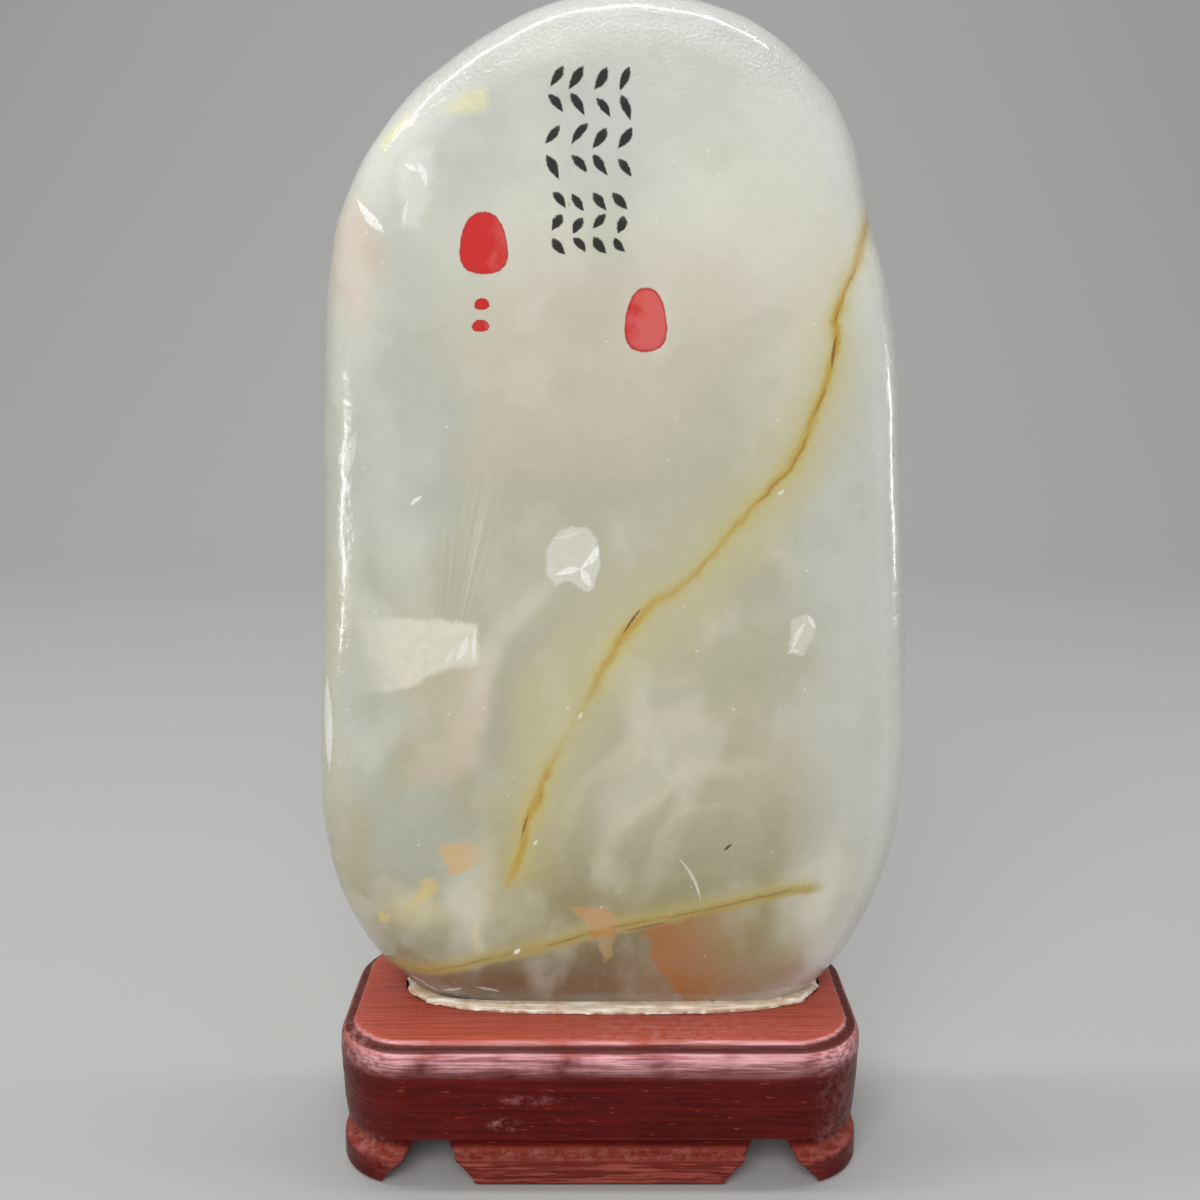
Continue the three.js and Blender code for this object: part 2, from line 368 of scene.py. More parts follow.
relief = calc(tree, "MULTIPLY_ADD", streaks, 0.8, calc(tree, "MULTIPLY_ADD", rubbed, 0.3, lines))
roughen(tree, shader, relief, 0.7, 0.0005)
stand.data.materials.append(paint)
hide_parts("wooden_stand")
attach(stand, "root")

# The setting bead: a cream compound run into the slot round the stone's foot while soft. It is
# squeezed up into a low bead, smeared in a ragged line on the panel, and set hard and glossy.
bead = copy_of("setting_bead", "cream_setting_bead")
work(bead, "REMESH", mode="VOXEL", voxel_size=0.00034)
work(bead, "SMOOTH", factor=0.5, iterations=2)
points, facing = points_of(bead)
panel_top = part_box("wooden_stand")[1][2] * 1000
stone_front, stone_back = (1000 * corner[1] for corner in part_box("jade_stone"))
middle_plane = (stone_front + stone_back) / 2
# Its foot spreads over the panel in a ragged smear, and its crown is lumpy.
spread, lump_height = 0.8, 0.12
foot = fade(points[:, 2], panel_top + 1.0, panel_top + 0.4)
above = points[:, 2] > panel_top + 0.1
outward = np.column_stack([facing[:, 0], facing[:, 1], np.zeros(len(points))])
outward /= np.maximum(np.hypot(*outward[:, :2].T), 0.35)[:, None]
smear = np.maximum(unevenness(points, (2.6, 2.6, 9), 3) + 0.3, 0)
points += outward * (spread * smear * foot * above)[:, None]
lumps = unevenness(points + 40, (14, 4, 0.9), 2)
points += facing * (lump_height * lumps * above)[:, None]
# The side towards the stone is pressed onto it, and the outer side is drawn in, but for the two
# ends, where the crown leans onto the stone. Then the whole bead settles on the panel.
press, draw_in, end_lean, foot_left, foot_right = 1.3, 1.2, 1.1, -32, 37
foot_middle = (foot_left + foot_right) / 2
nearest_x = np.clip(points[:, 0], foot_left, foot_right)
inward = np.column_stack([nearest_x, np.full(len(points), middle_plane)]) - points[:, :2]
inward /= np.hypot(*inward.T)[:, None]
to_stone = np.sum(facing[:, :2] * inward, axis=1) > 0
at_ends = fade(np.abs(points[:, 0] - foot_middle), 33, 41)
points += outward * (np.where(to_stone, press, draw_in * at_ends - draw_in) * above)[:, None]
lean = end_lean * at_ends * fade(points[:, 2], panel_top, panel_top + 0.8)
points[:, :2] += inward * lean[:, None]
points[:, 2] -= 0.3 * foot * above + 0.36 * np.maximum(points[:, 2] - panel_top, 0)
set_points(bead, points)
work(bead, "SMOOTH", factor=0.5, iterations=3)
bpy.ops.object.shade_smooth()

cream, tree, shader = new_material("cream_compound")
place = millimetres(tree)
lumps = mottle(tree, place, 0.5, 3)
crumbs = mottle(tree, place, 1.0, 2, stretch=(0.07, 0.4, 1.9))
height = parts(tree, place)[2]
colour = cover(tree, tone(208, 182, 154), rise(tree, lumps, 0.35, 0.65), tone(226, 206, 180))
colour = cover(tree, colour, rise(tree, crumbs, 0.48, 0.66), tone(250, 244, 232))
soiled = product(
    tree, rise(tree, height, panel_top + 0.4, panel_top + 0.1), rise(tree, lumps, 0.62, 0.4)
)
colour = cover(tree, colour, product(tree, soiled, 0.6), tone(164, 104, 84))
tree.links.new(colour, shader.inputs["Base Color"])
shader.inputs["Roughness"].default_value = 0.16
shader.inputs["Subsurface Weight"].default_value = 0.15
shader.inputs["Subsurface Scale"].default_value = 0.0015
roughen(tree, shader, crumbs, 0.25, 0.0003)
bead.data.materials.append(cream)
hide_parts("setting_bead")
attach(bead, "root")

# The stone: a slab of pale, slightly see-through jade, ground to a rounded rim by hand and
# polished, but for a rough patch at its foot. Clouds, stains and veins lie in it, and the brush
# marks and the red ovals are painted on its front face. Some light and shade, and a few
# reflections and highlights, are painted into its colour as well.
stone = copy_of("jade_stone", "polished_jade")
work(stone, "SUBSURF", levels=2, render_levels=2)
work(stone, "REMESH", mode="VOXEL", voxel_size=0.00086)
work(stone, "SMOOTH", factor=0.5, iterations=12)
points, facing = points_of(stone)
# Depths in mm: the rim is ground unevenly and in waves, and the rough foot is pitted.
grind_depth, wave_depth, pit_depth = 0.34, 0.07, 0.32
half_thick = (stone_back - stone_front) / 2
on_rim = fade(np.abs(points[:, 1] - middle_plane), half_thick - 0.8, half_thick - 3.0)
grinding = 1 + unevenness(points, (17, 14, 21))
pitting = 1 + unevenness(points + 90, 2.6, 3)
rough_foot = fade(points[:, 2], 38, 33) * fade(points[:, 0], -6, -20)
waves = 1 + unevenness(points + 60, (9, 6, 6), 2)
depth = (grind_depth * grinding + wave_depth * waves) * on_rim
depth += pit_depth * pitting * rough_foot
set_points(stone, points - facing * np.maximum(depth, 0)[:, None])
bpy.ops.object.shade_smooth()

across, up = points[:, 0], points[:, 2]
face = np.column_stack([across, up])
drift = np.column_stack([unevenness(points + 11, 24, 3), unevenness(points + 53, 24, 3)])
crumble = np.column_stack([unevenness(points + 7, 3.2, 3), unevenness(points + 31, 3.2, 3)])
cloudy = face + 6 * drift
in_front = points[:, 1] < middle_plane


def along_and_aside(spot, middle, turn):
    """How far each point lies along and beside a line through a middle, turned by degrees."""
    cosine, sine = math.cos(math.radians(turn)), math.sin(math.radians(turn))
    right, top = (spot - middle).T
    return right * cosine + top * sine, top * cosine - right * sine


def oval(spot, middle, half, turn=0.0, soft=0.6):
    """1 within an oval and 0 outside it: its middle and half size in mm, turned by degrees."""
    along, aside = along_and_aside(spot, middle, turn)
    return fade(np.hypot(along / half[0], aside / half[1]), 1 + soft, 1 - soft)


def lay(under, share, over):
    return under + share[:, None] * (np.array(tone(*over)) - under)


def keep(name, values):
    """Keeps up to three values or a colour for each point of the stone, for its material."""
    kind, slot = ("FLOAT_COLOR", "color") if len(values[0]) == 4 else ("FLOAT_VECTOR", "vector")
    unused = np.zeros((len(values), max(3 - len(values[0]), 0)))
    layer = stone.data.attributes.new(name, kind, "POINT")
    layer.data.foreach_set(slot, np.column_stack([values, unused]).astype(float).ravel())


# The body of the stone: milky towards the top and a yellower grey towards the foot, with clouds
# of other tones deep in it, each with its middle, half size, turn and share. The tones by height
# are also painted light and shade: lighter at the top and darker towards the foot, as the light
# from above falls off.
heights, tones_with_painted_shade = zip(
    (18, (108, 90, 60)),
    (34, (126, 108, 72)),
    (48, (148, 136, 92)),
    (75, (178, 174, 146)),
    (110, (184, 181, 156)),
    (140, (187, 185, 162)),
    (170, (204, 203, 186)),
    (200, (210, 212, 202)),
    (224, (206, 208, 200)),
)
tones_with_painted_shade = np.array([tone(*t) for t in tones_with_painted_shade])
height = cloudy[:, 1]
stone_tint = np.column_stack([np.interp(height, heights, tones_with_painted_shade[:, i]) for i in range(4)])
milk, cool, warm, olive = (222, 221, 206), (180, 186, 180), (206, 192, 172), (194, 187, 140)
shade, dusk, blush, straw = (164, 164, 142), (112, 88, 62), (208, 186, 166), (214, 204, 142)
pearl = (200, 203, 200)
for over, middle, half, turn, share in (
    (milk, (30, 182), (20, 22), 0, 0.5),
    (pearl, (47, 108), (10, 56), 0, 0.6),
    (cool, (-37, 160), (12, 24), 10, 0.5),
    (cool, (-39, 132), (12, 18), 0, 0.6),
    (cool, (-46, 92), (6, 22), 0, 0.55),
    (cool, (-12, 196), (20, 10), 12, 0.35),
    (warm, (2, 164), (28, 13), 6, 0.5),
    (warm, (-10, 146), (18, 8), 0, 0.3),
    (blush, (-47, 178), (5, 13), 12, 0.7),
    (warm, (-27, 90), (5, 15), -24, 0.75),
    (milk, (-17.5, 108), (2.6, 13), -28, 0.4),
    (shade, (-17.5, 92), (3.8, 16), -27, 0.5),
    (olive, (-8.5, 94), (6, 11), -20, 0.55),
    (olive, (24, 124), (7, 24), -38, 0.4),
    (milk, (6, 84), (4, 14), -22, 0.3),
    (warm, (14, 72), (3, 18), -12, 0.35),
    (warm, (33, 76), (4, 16), -35, 0.15),
    (shade, (24, 62), (20, 8), 4, 0.25),
    (cool, (-36, 66), (10, 9), 0, 0.5),
    (cool, (-28, 45), (9, 4), 8, 0.25),
    (milk, (-24.5, 56), (4.5, 9), 10, 0.55),
    (straw, (-34, 53), (5, 4), 25, 0.45),
    (straw, (-22, 46), (1.2, 5), 0, 0.5),
    (milk, (-35, 120), (5, 11), 8, 0.4),
    (milk, (-36, 143), (5, 8), -10, 0.3),
    (warm, (-36, 96), (6, 4), 0, 0.3),
    (milk, (46, 54), (9, 13), 0, 0.4),
):
    stone_tint = lay(stone_tint, share * oval(cloudy, middle, half, turn), over)
# Brown shades under the low vein, which climbs to the right.
vein_height, vein_climb = 47, 0.24
below_vein = fade(up - vein_height - vein_climb * across, 1.5, -1.5)
stone_tint = lay(stone_tint, 0.8 * below_vein * oval(cloudy, (-8, 34), (30, 10)), dusk)
stone_tint = lay(stone_tint, 0.5 * below_vein * oval(cloudy, (30, 35), (22, 9)), (160, 130, 98))
# A milky veil, a faint murk, and pale rings round one point, deep in the lower right.
veil = fade(unevenness(points + 5, (15, 30, 22), 4), 0.0, 0.6)
stone_tint = lay(stone_tint, 0.3 * veil, milk)
murk = fade(unevenness(points + 71, (20, 30, 15), 3), 0.05, 0.55)
stone_tint = lay(stone_tint, 0.16 * murk, shade)
heart, ring_width = (19.5, 66), 9
from_heart = np.hypot(*(cloudy - heart).T)
rings = fade(np.cos(from_heart / ring_width * 2 * math.pi), 0.0, 1)
rings *= oval(face, (12, 78), (20, 18)) * fade(from_heart, 7, 12)
stone_tint = lay(stone_tint, 0.35 * rings, (214, 206, 180))


def from_path(spot, path):
    """How far each point lies to one side of a path, and the path's strength beside it."""
    nearest = np.full(len(spot), 1e9)
    aside, strength = np.zeros(len(spot)), np.zeros(len(spot))
    for (x, z, s), (next_x, next_z, next_s) in zip(path, path[1:]):
        start, way = np.array([x, z]), np.array([next_x - x, next_z - z])
        t = np.clip((spot - start) @ way / (way @ way), 0, 1)
        off = spot - start - t[:, None] * way
        distance = np.hypot(*off.T)
        closer = distance < nearest
        side = np.sign(way[0] * off[:, 1] - way[1] * off[:, 0])
        nearest = np.where(closer, distance, nearest)
        aside = np.where(closer, side * distance, aside)
        strength = np.where(closer, s + t * (next_s - s), strength)
    return aside, strength


# The two veins, as places on the face and how strong each is there. The long one falls from the
# right rim to the left, and the low one rises to the right over the foot.
long_vein = (
    (51.5, 187, 0.35),
    (48.2, 181, 0.6),
    (46.6, 176.5, 0.7),
    (43.4, 172, 0.7),
    (42.6, 169.5, 0.9),
    (41.6, 166, 1.0),
    (42.7, 160.5, 1.0),
    (41.0, 152.2, 0.9),
    (37.9, 145, 0.85),
    (34.5, 138.7, 0.8),
    (27.5, 131.5, 0.75),
    (19.7, 122.5, 0.65),
    (14.9, 117.6, 0.5),
    (9.4, 114, 0.75),
    (5.1, 108.6, 1.0),
    (0, 99, 0.75),
    (-3.8, 92.2, 0.24),
    (-7.6, 86.6, 0.2),
    (-11.2, 78.9, 0.9),
    (-12.2, 73.8, 1.0),
    (-14.6, 68.5, 0.95),
    (-15.5, 62.8, 1.0),
    (-17.3, 58.6, 0.7),
    (-18.3, 56.1, 0.0),
)
low_vein = (
    (-41.6, 37.8, 0.5),
    (-37.6, 37.4, 0.6),
    (-33.6, 37.8, 0.7),
    (-29, 38.9, 0.75),
    (-22.5, 40.6, 0.85),
    (-10.5, 43.8, 0.85),
    (-3.8, 45.8, 0.9),
    (5, 47.6, 0.95),
    (12.1, 49.3, 0.9),
    (19.8, 51.2, 0.95),
    (26.5, 52.7, 0.95),
    (33.9, 54.2, 0.95),
    (41.4, 55.7, 0.85),
    (45.2, 56.9, 0.0),
)
# Yellow stain beside the veins, and on the rim a painted light that is paler on the right and a
# painted shade that greys it towards the top.
meander = face + 0.4 * crumble + 1.2 * drift
long_aside, long_strength = from_path(meander, long_vein)
low_aside, low_strength = from_path(face + 0.2 * crumble + 0.8 * drift, low_vein)
glow = fade(np.abs(long_aside), 12, 0.5) * (0.4 + 0.6 * long_strength)
stone_tint = lay(stone_tint, 0.48 * glow * (1 + 0.5 * drift[:, 0]), (200, 188, 134))
glow = fade(low_aside, 5, 0.3) * fade(low_aside, -2, 0) * low_strength
stone_tint = lay(stone_tint, 0.5 * glow, (186, 174, 112))
# Painted light: the rim is painted paler, as light glows through its thin edge, more on the right.
stone_tint = lay(stone_tint, (0.14 + 0.46 * fade(across, -50, 50)) * on_rim, (220, 221, 218))
# Painted shade: the rim is painted greyer towards the top, under the light from above.
stone_tint = lay(stone_tint, 0.55 * on_rim * fade(up, 190, 214), (172, 174, 166))
keep("stone_tint", np.clip(stone_tint, 0, 1))
keep("long_vein", np.column_stack([long_aside, long_strength]))
keep("rough_foot", rough_foot[:, None])
keep("low_vein", np.column_stack([low_aside, low_strength]))


def inside(spot, outline):
    """How deep each point lies inside a closed outline, in mm, and below 0 outside it."""
    nearest, is_in = np.full(len(spot), 1e9), np.zeros(len(spot), bool)
    for start, end in zip(outline, outline[1:] + outline[:1]):
        way = np.subtract(end, start)
        t = np.clip((spot - start) @ way / (way @ way), 0, 1)
        nearest = np.minimum(nearest, np.hypot(*(spot - start - t[:, None] * way).T))
        passes = (spot[:, 1] < start[1]) != (spot[:, 1] < end[1])
        is_in ^= passes & (spot[:, 0] < start[0] + (spot[:, 1] - start[1]) * way[0] / way[1])
    return np.where(is_in, nearest, -nearest)


# Stains and flaws with clear edges just under the face, with two painted reflections and a painted
# highlight among them: a colour, how much of it shows, the places from left to right where it has
# faded out and where it is full, its edge, its outline.
anywhere = (-99, -98)
stain_and_reflection_edge, stain_and_reflection_tint = np.full(len(face), -9.0), np.zeros((len(face), 4))
stain_and_reflection_soft = np.full(len(face), 0.3)
for over, share, (none, full), soft, outline in (
    (
        (212, 174, 116), 0.85, (-20, -29), 0.5,
        (
            (-31.8, 65.6), (-26.2, 65.8), (-21.1, 65.1), (-22.3, 62.8), (-25.9, 59.9),
            (-29.5, 59.1), (-30.7, 62.4),
        ),
    ),
    (
        (212, 192, 122), 0.75, anywhere, 0.6,
        (
            (-35.8, 58.0), (-32.2, 58.4), (-31.9, 55.7), (-33.9, 54.0), (-37.1, 52.3),
            (-39.3, 51.2), (-36.7, 54.4), (-35.2, 56.5),
        ),
    ),
    (
        (206, 184, 122), 0.9, anywhere, 0.3,
        (
            (-44.7, 51.2), (-41.9, 50.6), (-42.4, 48.8), (-44.0, 48.1),
        ),
    ),
    (
        (198, 150, 104), 0.8, anywhere, 0.5,
        (
            (-6.7, 52.5), (-3.6, 52.1), (0.0, 52.5), (2.8, 50.8), (3.6, 48.0), (1.2, 47.1),
            (-1.6, 48.1), (-4.0, 50.3),
        ),
    ),
    (
        (190, 124, 58), 0.7, anywhere, 0.3,
        (
            (-2.8, 47.1), (3.2, 47.6), (2.4, 45.5), (-1.2, 45.6),
        ),
    ),
    (
        (188, 154, 100), 0.65, anywhere, 0.5,
        (
            (-0.2, 44.8), (2.4, 45.0), (2.2, 41.7), (1.0, 40.2), (0.4, 42.2),
        ),
    ),
    (
        (164, 104, 52), 1.0, (33, 9), 0.7,
        (
            (7.9, 47.3), (10.3, 44.8), (10.2, 41.5), (11.8, 38.7), (14.6, 35.2), (17.5, 31),
            (38, 30), (37.5, 52.0), (26.5, 52.3), (19.8, 50.8), (14.5, 49.0),
        ),
    ),
    # A painted reflection: the bright spot in the middle of the face.
    (
        (218, 216, 204), 0.85, anywhere, 0.25,
        (
            (-10.2, 122.9), (-9.1, 125.9), (-7.4, 127.6), (-5.2, 128.4), (-2.2, 128.0),
            (-0.6, 126.3), (0.0, 123.7), (0.1, 121.0), (-1.1, 117.2), (-2.1, 116.1),
            (-4.1, 117.4), (-6.2, 118.4), (-8.4, 117.0), (-9.7, 119.9),
        ),
    ),
    # A painted reflection of a window, at the left of the face.
    (
        (226, 223, 204), 0.85, (-48, -36), 0.7,
        (
            (-49, 110.7), (-33.8, 110.9), (-22.8, 110.1), (-23.1, 102.1), (-28.4, 101.5),
            (-31.9, 100.1), (-35.0, 97.8), (-40.3, 96.4), (-49, 96.2),
        ),
    ),
    (
        (226, 219, 160), 0.6, (-31, -23), 0.8,
        (
            (-28.7, 201.2), (-24.5, 204.3), (-20.0, 205.1), (-19.7, 201.3), (-24.2, 201.0),
        ),
    ),
    (
        (226, 219, 160), 0.6, anywhere, 0.8,
        (
            (-40.2, 196.0), (-33.9, 201.8), (-33.3, 200.3), (-38.1, 195.4),
        ),
    ),
    (
        (216, 214, 198), 0.75, anywhere, 0.3,
        (
            (35.9, 110.7), (39.8, 111.6), (40.5, 108.4), (38.9, 103.7), (35.9, 104.5),
        ),
    ),
    # A painted highlight, soft, near the upper left rim.
    (
        (228, 229, 222), 0.6, anywhere, 1.3,
        (
            (-35.3, 192.1), (-33.1, 194.7), (-29.2, 195.1), (-29.0, 190.6), (-30.4, 185.5),
            (-32.1, 181.0), (-34.5, 182.2), (-35.1, 187.2),
        ),
    ),
):
    edge = inside(face + 0.55 * crumble, outline)
    deeper = edge > stain_and_reflection_edge
    stain_and_reflection_edge, stain_and_reflection_soft = np.where(deeper, edge, stain_and_reflection_edge), np.where(deeper, soft, stain_and_reflection_soft)
    shown = share * fade(across, none, full) * in_front
    stain_and_reflection_tint = np.where(deeper[:, None], np.array([*tone(*over)[:3], 1]), stain_and_reflection_tint)
    stain_and_reflection_tint[:, 3] = np.where(deeper, shown, stain_and_reflection_tint[:, 3])
keep("stain_and_reflection_edge", np.column_stack([stain_and_reflection_edge, stain_and_reflection_soft]))
keep("stain_and_reflection_tint", stain_and_reflection_tint)


def keep_marks(name, marks):
    """Keeps each point's place along, beside and off the nearest of some thin marks, in as many
    layers as leave the marks of one layer well apart, and gives the layers' names."""
    layers = []
    for mark in marks:
        for layer in layers:
            if all(math.dist(mark[:2], near[:2]) > mark[2] + near[2] + 2.5 for near in layer):
                layer.append(mark)
                break
        else:
            layers.append([mark])
    names = [f"{name}_{number}" for number, layer in enumerate(layers)]
    for layer_name, layer in zip(names, layers):
        nearest, places = np.full(len(face), 1e9), np.zeros((len(face), 3))
        tints = np.zeros((len(face), 4))
        for x, z, half_length, half_width, turn, bow, taper, over, share in layer:
            along, aside = along_and_aside(face, (x, z), turn)
            along = along / half_length
            aside = aside / half_width + bow * (along**2 - 1)
            aside /= 1 + taper * np.clip(along, -1, 1)
            past = np.maximum(np.abs(np.column_stack([along, aside])) - 1, 0)
            off = np.hypot(*(past * (half_length, half_width)).T)
            closer = (off < nearest)[:, None]
            nearest = np.minimum(nearest, off)
            places = np.where(closer, np.column_stack([along, aside, off]), places)
            tints = np.where(closer, np.array([*tone(*over)[:3], share]), tints)
        tints[:, 3] *= in_front
        keep(layer_name, places)
        keep(layer_name + "_tint", tints)
    return names


# Open hairs of the veins in brown and flakes in white, and painted highlights in white on the left
# rim: each with its middle, half length, half width, turn, bow, the end it is thicker at, its
# colour and how much of it shows.
hair, flake_and_highlight, faint_and_highlight = (112, 64, 20), (246, 246, 240), (226, 224, 208)
flaw_and_highlight_layers = keep_marks(
    "flaw_and_highlight",
    (
        (42.3, 160.0, 3.6, 0.36, 84, 0.6, 0.3, hair, 0.7),
        (6.0, 110.4, 3.6, 0.34, 56, 0.5, 0.3, hair, 0.85),
        (-14.5, 69.6, 3.2, 0.3, 74, 0.5, -0.3, hair, 0.7),
        (9.0, 48.3, 5.5, 0.35, 13, -0.8, 0, hair, 0.5),
        (25.0, 65.0, 1.15, 0.34, 43, 0, 0, (60, 62, 52), 0.95),
        (-41.0, 184.2, 4.6, 0.95, -48, -0.4, 0.6, flake_and_highlight, 0.85),
        (-31.4, 190.8, 2.5, 0.7, -68, 0.6, 0, flake_and_highlight, 0.8),
        (-33.2, 192.0, 1.4, 0.6, -30, 0, 0, flake_and_highlight, 0.8),
        (-34.2, 184.4, 2.4, 0.5, 78, 0.4, 0, flake_and_highlight, 0.5),
        (-33.9, 133.2, 1.5, 0.42, 38, 0.3, 0, flake_and_highlight, 0.8),
        (-2.0, 122.8, 3.0, 0.85, 52, -0.7, 0.3, flake_and_highlight, 0.95),
        (-6.0, 119.9, 2.7, 0.75, 14, 0.3, 0.3, flake_and_highlight, 0.85),
        (-2.6, 118.8, 2.2, 0.9, -64, 0, -0.2, flake_and_highlight, 0.8),
        (-6.2, 127.0, 3.2, 0.4, 14, -0.8, 0, faint_and_highlight, 0.7),
        (-23.6, 105.8, 3.6, 0.5, 86, 0.3, 0, flake_and_highlight, 0.6),
        (-26.2, 105.2, 3.0, 0.9, 66, -0.5, 0, flake_and_highlight, 0.5),
        (-28.4, 103.6, 1.8, 0.7, 58, 0, 0, flake_and_highlight, 0.35),
        (39.9, 110.2, 1.6, 0.5, -60, 0, 0, flake_and_highlight, 0.7),
        (37.6, 107.4, 3.2, 0.6, 66, 0.7, 0, flake_and_highlight, 0.6),
        (36.6, 104.4, 1.4, 0.5, 10, 0.3, 0, flake_and_highlight, 0.5),
        (33.4, 134.8, 0.9, 0.45, 40, 0, 0, flake_and_highlight, 0.5),
        (-3.8, 91.9, 1.0, 0.4, 60, 0, 0, flake_and_highlight, 0.6),
        (17.4, 58.0, 6.0, 0.4, -64, 2.6, 0, faint_and_highlight, 0.6),
        (-12.6, 66.0, 0.8, 0.4, 60, 0, 0, faint_and_highlight, 0.8),
        (-16.6, 42.6, 1.0, 0.5, 40, 0, 0, flake_and_highlight, 0.8),
        (-28.4, 203.0, 4.4, 0.35, 22, 0, 0, faint_and_highlight, 0.4),
        # Painted highlights on the left rim: a ribbed lens, a painted reflection, and three
        # smaller marks.
        (-53.4, 88.4, 10.5, 1.2, 89, 0.2, 0, flake_and_highlight, 0.55),
        (-54.8, 152.0, 2.8, 1.1, 84, 0, 0, flake_and_highlight, 0.6),
        (-46.5, 141.0, 5.6, 1.2, 70, 0, 0, faint_and_highlight, 0.5),
        (-55.6, 127.6, 1.6, 0.6, 88, 0, 0, flake_and_highlight, 0.6),
        (-36.4, 33.6, 4.0, 0.6, -30, 0.4, 0, flake_and_highlight, 0.6),
        (-30.0, 33.0, 2.6, 0.5, 24, 0, 0, flake_and_highlight, 0.5),
        (-22.6, 33.8, 3.0, 0.4, -12, 0, 0, flake_and_highlight, 0.4),
    ),
)

# Black brush dabs in plain rows that lean one way and then the other: they stand in the place of
# the writing and form no letter.
hand = np.random.default_rng(8)
dabs = []
for bottom, top, rows, left, right in ((192.2, 206.8, 4, -7.9, 4.3), (178.8, 186.0, 3, -7.4, 3.6)):
    for row, z in enumerate(np.linspace(bottom, top, rows)):
        for x in np.linspace(left, right, 4):
            push = hand.normal(0, 0.22, 2)
            turn = (55 if row % 2 else 125) + hand.normal(0, 6)
            length, width = hand.uniform(0.88, 1.12, 2) * (2.35 if rows == 4 else 1.9, 0.95)
            bend, heavy = hand.uniform(-0.4, 0.4), hand.uniform(0.2, 0.5)
            place = (x + push[0], z + push[1])
            dabs.append((*place, length, width, turn, bend, heavy, (14, 12, 10), 0.97))
dab_layers = keep_marks("dab", dabs)

# Red ovals and dots, brushed on: a middle, a half size, and how pink the paint has stayed.
oval_edge, oval_place = np.full(len(face), -9.0), np.zeros((len(face), 2))
for x, z, half_width, half_height, pinkness in (
    (-20.6, 179.1, 4.3, 5.5, 0.45),
    (-21.1, 168.6, 1.5, 1.15, 0.2),
    (-21.4, 164.8, 1.7, 1.15, 0.5),
    (8.2, 165.8, 3.8, 5.8, 0.95),
):
    right, top = ((face - (x, z)) / (half_width, half_height)).T
    right = right * (1 + 0.2 * top)
    edge = (1 - (np.abs(right) ** 2.4 + np.abs(top) ** 2.4) ** (1 / 2.4)) * half_width
    deeper = edge > oval_edge
    oval_edge = np.where(deeper, edge, oval_edge)
    seen = np.column_stack([right, np.full(len(face), pinkness)])
    oval_place = np.where(deeper[:, None], seen, oval_place)
oval_edge = np.where(in_front, oval_edge, -9)
keep("red_ovals", np.column_stack([oval_edge, oval_place]))

jade, tree, shader = new_material("pale_jade")
place = millimetres(tree)


def kept(tree, name):
    """The three values kept under a name, and the whole node for a colour."""
    node = put(tree, "ShaderNodeAttribute", attribute_name=name)
    return parts(tree, node.outputs["Vector"]), node.outputs


fine = mottle(tree, place, 0.45, 3, 0.6)
grit = mottle(tree, place, 1.6, 2)
colour = kept(tree, "stone_tint")[1]["Color"]
colour = cover(tree, colour, product(tree, rise(tree, fine, 0.5, 0.8), 0.08), tone(232, 230, 216))
colour = cover(tree, colour, product(tree, rise(tree, fine, 0.5, 0.2), 0.07), tone(156, 156, 134))

# A fan of fine pale streaks at the left, that meet in one point below.
x, y, z = parts(tree, place)
fan_x, fan_z = -32.0, 86.0
fan = calc(tree, "DIVIDE", calc(tree, "SUBTRACT", x, fan_x), calc(tree, "SUBTRACT", z, fan_z))
ray = put(tree, "ShaderNodeCombineXYZ", {0: product(tree, fan, 60.0), 2: product(tree, z, 0.02)})
streaks = product(
    tree,
    rise(tree, mottle(tree, ray.outputs[0], 1.0, 2), 0.42, 0.7),
    patch(tree, place, -24.6, 123.5, 4.6, 12.5, -14, 0.7),
    rise(tree, y, 3.0, 2.0),
    0.34,
)
colour = cover(tree, colour, streaks, tone(226, 224, 208))

# The veins' own colour: soft yellow edges, a golden line, and here and there a darker hair in it.
for name, above, below, sway, width, edge_tone, core_tone in (
    ("long_vein", 3.4, 3.4, 1.4, 1.2, tone(194, 180, 96), tone(186, 150, 56)),
    ("low_vein", 3.2, 1.2, 0.8, 1.6, tone(184, 168, 100), tone(168, 146, 80)),
):
    aside, strength, _ = kept(tree, name)[0]
    swayed = calc(tree, "ADD", aside, calc(tree, "MULTIPLY_ADD", fine, sway, -sway / 2))
    off = calc(tree, "ABSOLUTE", swayed)
    wide = product(tree, calc(tree, "MULTIPLY_ADD", grit, 1.0, 0.6), width)
    sides = product(tree, rise(tree, swayed, above, 0.1), rise(tree, swayed, -below, -0.1))
    colour = cover(tree, colour, product(tree, sides, strength, 0.7), edge_tone)
    core = product(tree, rise(tree, off, wide, 0.05), strength, 0.9)
    colour = cover(tree, colour, core, core_tone)
    thread = product(
        tree,
        rise(tree, calc(tree, "ABSOLUTE", calc(tree, "SUBTRACT", swayed, 0.2)), 0.35, 0.05),
        rise(tree, mottle(tree, place, 0.16, 1), 0.44, 0.6),
        rise(tree, strength, 0.4, 0.9),
        0.55,
    )
    colour = cover(tree, colour, thread, tone(138, 92, 30))

# Stains, flaws and painted reflections, ovals and dabs, each with an edge that is a little uneven.
uneven = calc(tree, "MULTIPLY_ADD", grit, 0.9, -0.45)
edge, soft, _ = kept(tree, "stain_and_reflection_edge")[0]
depth = calc(tree, "ADD", edge, uneven)
tint = kept(tree, "stain_and_reflection_tint")[1]
softened = rise(tree, depth, product(tree, soft, -1.0), soft)
uneven_share = calc(tree, "MULTIPLY_ADD", rise(tree, fine, 0.3, 0.66), 0.22, 0.8)
colour = cover(tree, colour, product(tree, softened, tint["Alpha"], uneven_share), tint["Color"])


